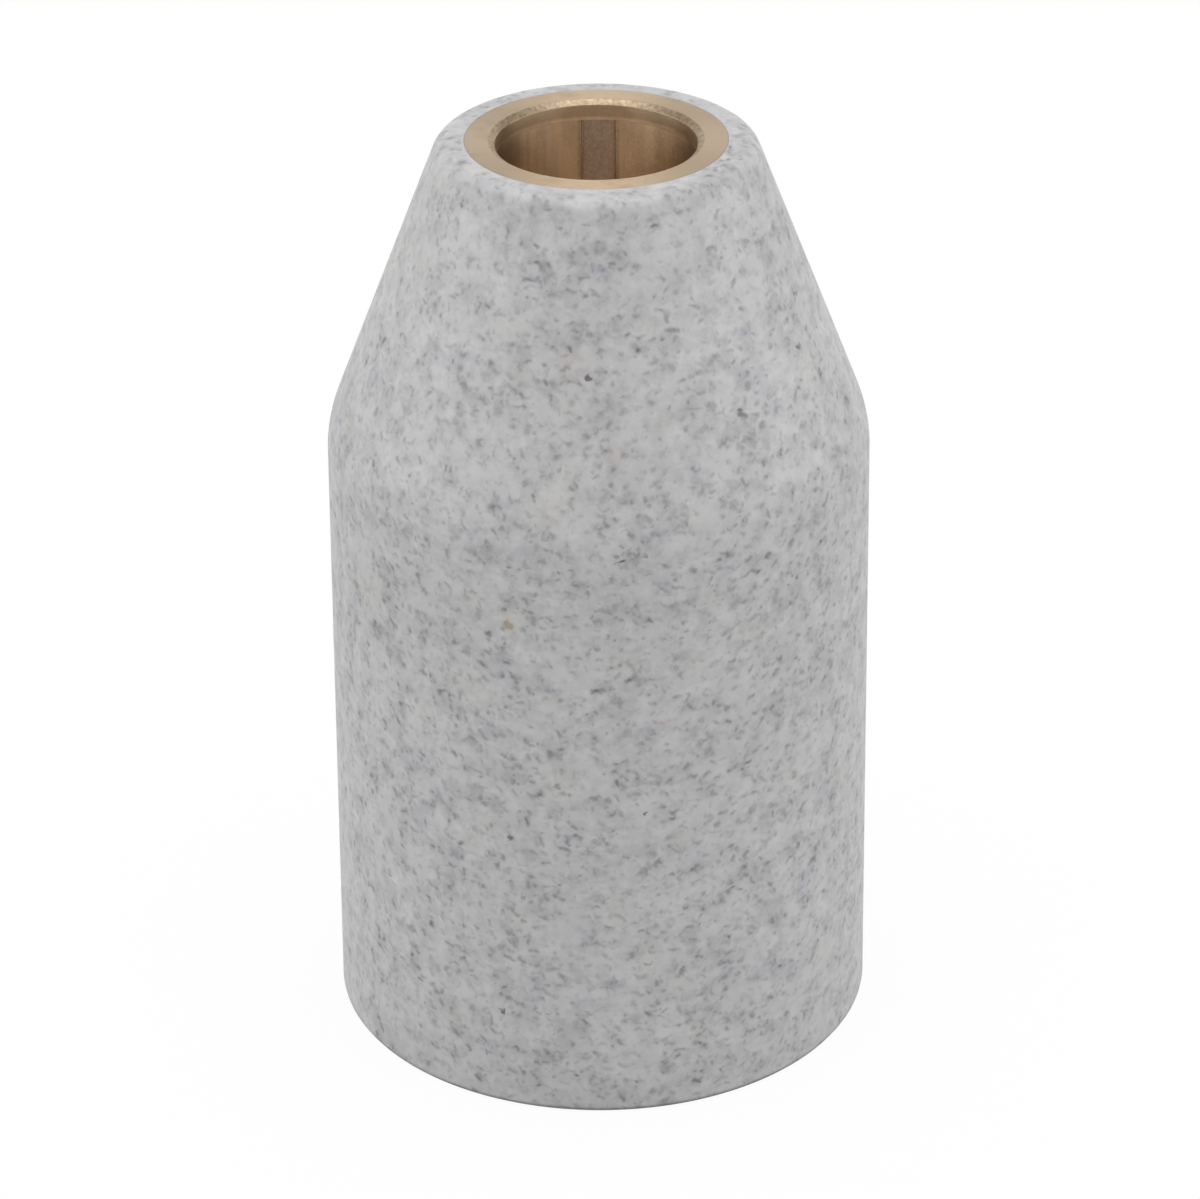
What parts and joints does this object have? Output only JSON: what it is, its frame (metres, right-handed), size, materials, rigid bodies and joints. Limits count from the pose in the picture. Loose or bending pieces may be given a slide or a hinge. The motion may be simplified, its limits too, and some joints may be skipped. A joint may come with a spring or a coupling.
{
  "type": "plasma torch shield cap",
  "caption": "Shield cap of a plasma cutting torch: speckled composite shell with a tapered nose, moulded round a brass insert with a slotted tip bore and a rear internal thread.",
  "frame": {"origin": "centre of the wide end's rim, on the cap's axis", "axes": "+Z along the axis from the wide end to the nose, with one gas slot facing nearly +Y"},
  "size_m": [0.0296, 0.0296, 0.0508],
  "materials": {
    "speckled_composite": "satin pale grey with fine dark grey fibre specks",
    "turned_brass": "fine turned, slightly dull"
  },
  "bodies": {
    "root": {"moulded_shell": "speckled_composite", "brass_insert": "turned_brass"}
  },
  "joints": []
}
